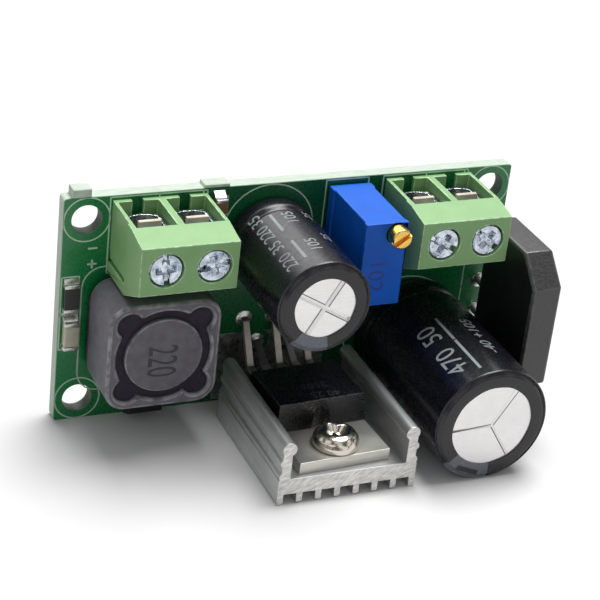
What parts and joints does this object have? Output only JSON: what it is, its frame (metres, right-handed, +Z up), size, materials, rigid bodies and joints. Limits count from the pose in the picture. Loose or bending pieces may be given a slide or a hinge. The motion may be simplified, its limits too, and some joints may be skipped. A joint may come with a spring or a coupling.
{
  "type": "dc-dc converter",
  "caption": "Step-down converter module: a green circuit board on its long edge with screw terminals, trimmer, inductor, capacitors and a regulator on a finned heatsink.",
  "frame": {"origin": "middle of the four mounting holes, on the component face of the board", "axes": "+X along the long edge to the input side, +Z up the board to the edge with the wire entries, and the component face looks along -Y"},
  "size_m": [0.051, 0.0241, 0.0269],
  "materials": {
    "board": "green solder mask on glass-fibre laminate",
    "solder": "bright tin solder",
    "terminal_green": "light green moulded polyamide",
    "tinned_brass": "tinned",
    "zinc": "zinc plated",
    "trimmer_blue": "blue moulded",
    "resin": "cast resin",
    "tinned_lead": "tin plated",
    "brass": "bare brass",
    "can": "satin",
    "sleeve": "shrunk sleeve, satin black",
    "rubber": "black rubber",
    "ferrite": "dull grey ferrite",
    "copper_wire": "enamelled copper",
    "black_mould": "moulded epoxy",
    "tinned_tab": "tin plated copper",
    "heatsink": "bare extrusion, sawn ends",
    "nickel": "nickel plated",
    "chip_black": "dark coated alumina",
    "chip_brown": "ceramic",
    "led_clear": "clear resin over a pale base"
  },
  "bodies": {
    "board": {"big_capacitor_bung": "rubber", "big_capacitor_can": "can", "big_capacitor_leads": "tinned_lead", "big_capacitor_sleeve": "sleeve", "bridge_leads": "tinned_lead", "bridge_mould": "black_mould", "ceramic_capacitor": "chip_brown", "chip_ends": "solder", "chip_solder": "solder", "circuit_board": "board", "diode_leads": "tinned_lead", "diode_mould": "black_mould", "feedback_resistor": "chip_black", "heatsink": "heatsink", "heatsink_screw": "nickel", "inductor_base": "black_mould", "inductor_core": "ferrite", "inductor_glue": "resin", "inductor_shield": "ferrite", "inductor_tails": "tinned_lead", "inductor_winding": "copper_wire", "input_terminal_contacts": "tinned_brass", "input_terminal_housing": "terminal_green", "led_resistor": "chip_black", "output_terminal_contacts": "tinned_brass", "output_terminal_housing": "terminal_green", "regulator_leads": "tinned_lead", "regulator_mould": "black_mould", "regulator_tab": "tinned_tab", "small_capacitor_bung": "rubber", "small_capacitor_can": "can", "small_capacitor_leads": "tinned_lead", "small_capacitor_sleeve": "sleeve", "solder_joints": "solder", "status_led": "led_clear", "tinned_area": "solder", "trimmer_fill": "resin", "trimmer_housing": "trimmer_blue", "trimmer_leads": "tinned_lead"},
    "output_left_screw": {"output_left_clamp_screw": "zinc"},
    "output_left_cage": {"output_left_clamp_cage": "zinc"},
    "output_right_screw": {"output_right_clamp_screw": "zinc"},
    "output_right_cage": {"output_right_clamp_cage": "zinc"},
    "input_left_screw": {"input_left_clamp_screw": "zinc"},
    "input_left_cage": {"input_left_clamp_cage": "zinc"},
    "input_right_screw": {"input_right_clamp_screw": "zinc"},
    "input_right_cage": {"input_right_clamp_cage": "zinc"},
    "trimmer_screw": {"trimmer_screw": "brass"}
  },
  "joints": [
    {"name": "output_left_screw_turn", "type": "hinge", "parent": "board", "child": "output_left_screw", "pos_m": [-0.01784, -0.009, 0.0093], "axis": [0, 1, 0], "range_deg": [0, 1440]},
    {"name": "output_left_cage_rise", "type": "slide", "parent": "board", "child": "output_left_cage", "axis": [0, -1, 0], "range_m": [0, 0.002]},
    {"name": "output_right_screw_turn", "type": "hinge", "parent": "board", "child": "output_right_screw", "pos_m": [-0.01276, -0.009, 0.0093], "axis": [0, 1, 0], "range_deg": [0, 1440]},
    {"name": "output_right_cage_rise", "type": "slide", "parent": "board", "child": "output_right_cage", "axis": [0, -1, 0], "range_m": [0, 0.002]},
    {"name": "input_left_screw_turn", "type": "hinge", "parent": "board", "child": "input_left_screw", "pos_m": [0.01276, -0.009, 0.0093], "axis": [0, 1, 0], "range_deg": [0, 1440]},
    {"name": "input_left_cage_rise", "type": "slide", "parent": "board", "child": "input_left_cage", "axis": [0, -1, 0], "range_m": [0, 0.002]},
    {"name": "input_right_screw_turn", "type": "hinge", "parent": "board", "child": "input_right_screw", "pos_m": [0.01784, -0.009, 0.0093], "axis": [0, 1, 0], "range_deg": [0, 1440]},
    {"name": "input_right_cage_rise", "type": "slide", "parent": "board", "child": "input_right_cage", "axis": [0, -1, 0], "range_m": [0, 0.002]},
    {"name": "trimmer_screw_turn", "type": "hinge", "parent": "board", "child": "trimmer_screw", "pos_m": [0.00705, -0.0105, 0.01108], "axis": [0, 1, 0], "continuous": true}
  ],
  "couplings": [
    {"joint": "output_left_screw_turn", "follows": "output_left_cage_rise", "rad_per_m": 12566},
    {"joint": "output_right_screw_turn", "follows": "output_right_cage_rise", "rad_per_m": 12566},
    {"joint": "input_left_screw_turn", "follows": "input_left_cage_rise", "rad_per_m": 12566},
    {"joint": "input_right_screw_turn", "follows": "input_right_cage_rise", "rad_per_m": 12566}
  ]
}
